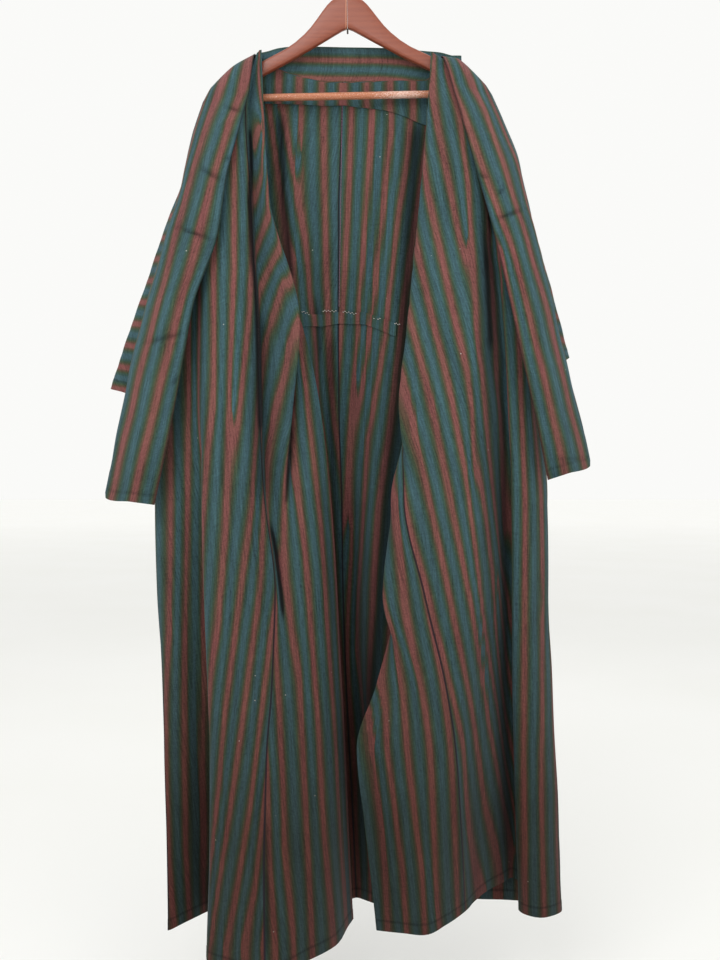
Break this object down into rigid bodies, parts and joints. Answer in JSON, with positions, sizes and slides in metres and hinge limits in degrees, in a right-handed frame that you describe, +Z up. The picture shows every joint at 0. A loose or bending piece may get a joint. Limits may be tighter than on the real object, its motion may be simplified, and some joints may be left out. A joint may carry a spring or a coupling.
{
  "type": "long haori on a wooden hanger",
  "caption": "Long striped haori hung open on a contoured wooden suit hanger with a trouser bar and a steel wire hook.",
  "frame": {"origin": "the point under the top of the hook where a rail carries it", "axes": "+Z up, the garment's front faces -Y, +X to the right as seen from the front"},
  "size_m": [0.7272, 0.2616, 1.4753],
  "materials": {
    "striped_cloth": "woven striped crepe, soft sheen",
    "stained_wood": "red-brown stain, satin varnish",
    "bar_wood": "lighter stain, worn varnish",
    "hook_steel": "polished wire",
    "thread_steel": "dark, dull"
  },
  "bodies": {
    "root": {"back_left": "striped_cloth", "back_right": "striped_cloth", "front_left": "striped_cloth", "front_right": "striped_cloth", "collar_left": "striped_cloth", "collar_right": "striped_cloth", "collar_neck": "striped_cloth", "sleeve_left": "striped_cloth", "sleeve_right": "striped_cloth", "shoulder_backing_left": "striped_cloth", "shoulder_backing_right": "striped_cloth", "waist_tuck_left": "striped_cloth", "waist_tuck_right": "striped_cloth", "arm_left": "stained_wood", "arm_right": "stained_wood", "trouser_bar": "bar_wood", "hook": "hook_steel", "hook_thread_end": "thread_steel"}
  },
  "joints": []
}
